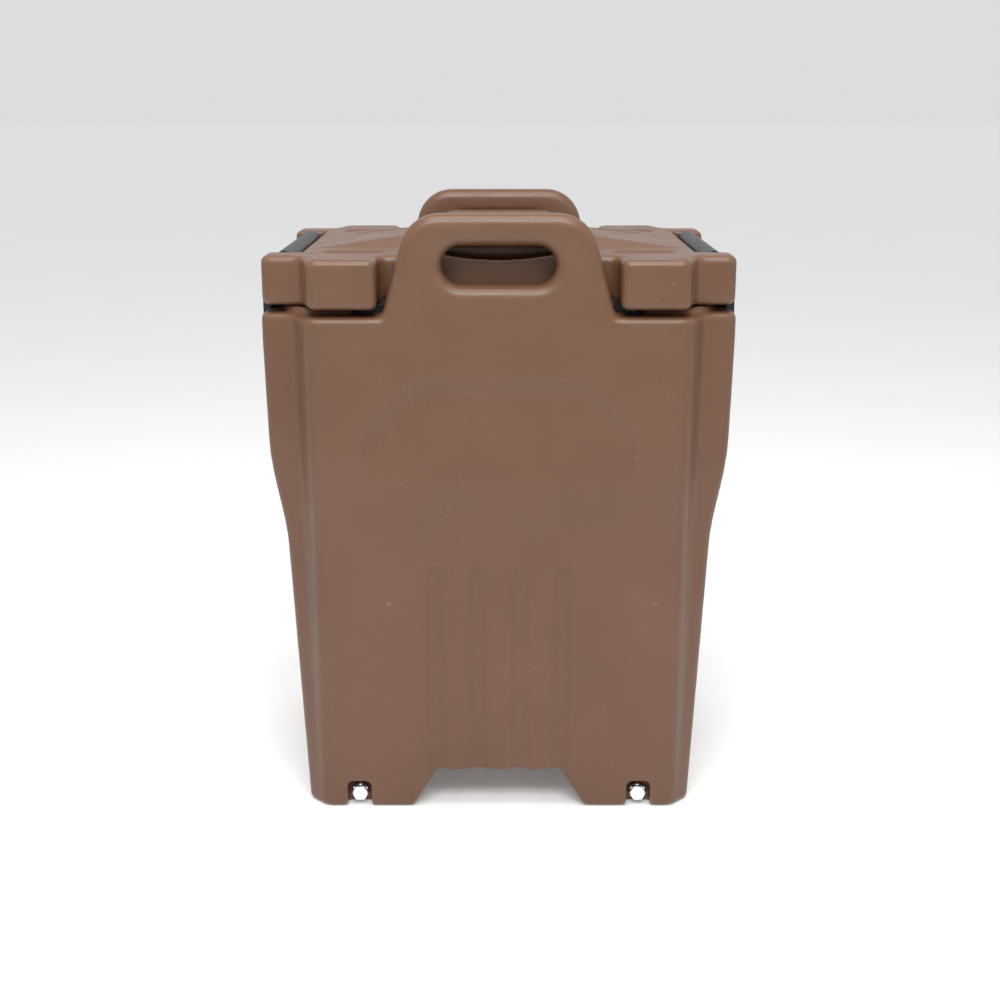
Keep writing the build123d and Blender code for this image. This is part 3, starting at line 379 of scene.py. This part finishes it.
def settled(piece):
    """The piece's mesh with its modifiers applied."""
    evaluated = piece.evaluated_get(bpy.context.evaluated_depsgraph_get())
    mesh = bpy.data.meshes.new_from_object(evaluated)
    piece.modifiers.clear()
    piece.data = mesh


def moulded_skin(name, node, body, voxel, softening, faces, sealed=None):
    """A closed skin with soft moulded transitions round one CAD node, which it stands for."""
    builder = bmesh.new()
    builder.from_mesh(nodes[node].data)
    if sealed is not None:
        seal_under(builder, *sealed)
    mesh = bpy.data.meshes.new(name)
    builder.to_mesh(mesh)
    builder.free()
    piece = new_piece(name, mesh)
    remesh = piece.modifiers.new("skin", "REMESH")
    remesh.mode = "VOXEL"
    remesh.voxel_size = voxel
    soften = piece.modifiers.new("soften", "SMOOTH")
    soften.factor = SMOOTHING_STEP
    soften.iterations = softening
    settled(piece)
    triangles = sum(len(polygon.vertices) - 2 for polygon in piece.data.polygons)
    if triangles > faces:
        thin = piece.modifiers.new("thin", "DECIMATE")
        thin.ratio = faces / triangles
        settled(piece)
    piece.data.polygons.foreach_set("use_smooth", [True] * len(piece.data.polygons))
    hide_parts(node)
    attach(piece, body)
    return piece


def give(piece, material):
    """The material for a skin."""
    piece.data.materials.clear()
    piece.data.materials.append(material)


LOOKS = {
    "brown_plastic": moulded_brown(),
    "black_nylon": black_nylon(),
    "black_silicone": black_silicone(),
    "foam": yellow_foam(),
    "zinc_steel": zinc_plate(),
    "pin_steel": ground_steel(),
    "brass_insert": moulded_brass(),
}

body_plug_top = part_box("body_fill_plug")[1].z
lid_plug_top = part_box("lid_fill_plug")[1].z
body_skin = moulded_skin(
    "body_skin", "body_shell", "body", SHELL_VOXEL, SHELL_SOFTENING, SHELL_FACES,
    ("body_fill_plug", body_plug_top + CAP_THICK),
)
give(body_skin, LOOKS["brown_plastic"])
lid_skin = moulded_skin(
    "lid_skin", "lid_shell", "lid", SHELL_VOXEL, SHELL_SOFTENING, SHELL_FACES,
    ("lid_fill_plug", lid_plug_top + CAP_THICK),
)
give(lid_skin, LOOKS["brown_plastic"])
for side in ("left", "right"):
    handle = moulded_skin(
        f"{side}_latch_skin", f"{side}_latch", f"{side}_latch",
        LATCH_VOXEL, LATCH_SOFTENING, LATCH_FACES,
    )
    give(handle, LOOKS["black_nylon"])

# Every CAD node gets the look of its material slot.
for cad_piece in nodes.values():
    for index, held in enumerate(cad_piece.data.materials):
        cad_piece.data.materials[index] = LOOKS[held.name.split(".")[0]]

floor_mesh = bpy.data.meshes.new("studio_floor")
floor_builder = bmesh.new()
bmesh.ops.create_circle(
    floor_builder, cap_ends=True, segments=FLOOR_SEGMENTS, radius=FLOOR_RADIUS,
)
floor_builder.to_mesh(floor_mesh)
floor_builder.free()
floor = new_piece("studio_floor", floor_mesh)
floor.location.z = cad_low.z
floor.data.materials.append(studio_floor())

world = bpy.data.worlds.new("pale_room")
world.use_nodes = True
background = world.node_tree.nodes["Background"]
background.inputs["Color"].default_value = WHITE
background.inputs["Strength"].default_value = ROOM_LIGHT
bpy.context.scene.world = world
bpy.context.scene.view_settings.view_transform = "Standard"


def softbox(name, place, target, width, height, power):
    """A rectangular lamp that faces the target and doesn't show itself."""
    lamp = bpy.data.lights.new(name, "AREA")
    lamp.shape = "RECTANGLE"
    lamp.size = width
    lamp.size_y = height
    lamp.energy = power
    holder = bpy.data.objects.new(name, lamp)
    holder.location = place
    aim = Vector(target) - Vector(place)
    holder.rotation_euler = aim.to_track_quat("-Z", "Y").to_euler()
    holder.visible_camera = False
    bpy.context.scene.collection.objects.link(holder)


centre = (cad_low + cad_high) / 2
for name, place, width, height, power in SOFTBOXES:
    softbox(name, place, centre, width, height, power)

camera_data = bpy.data.cameras.new("camera")
camera_data.lens = CAMERA_LENS
camera_data.sensor_width = CAMERA_SENSOR
camera = bpy.data.objects.new("camera", camera_data)
camera.location = CAMERA_PLACE
camera.rotation_euler = (math.radians(LEVEL_TILT - CAMERA_PITCH), 0.0, 0.0)
bpy.context.scene.collection.objects.link(camera)
bpy.context.scene.camera = camera
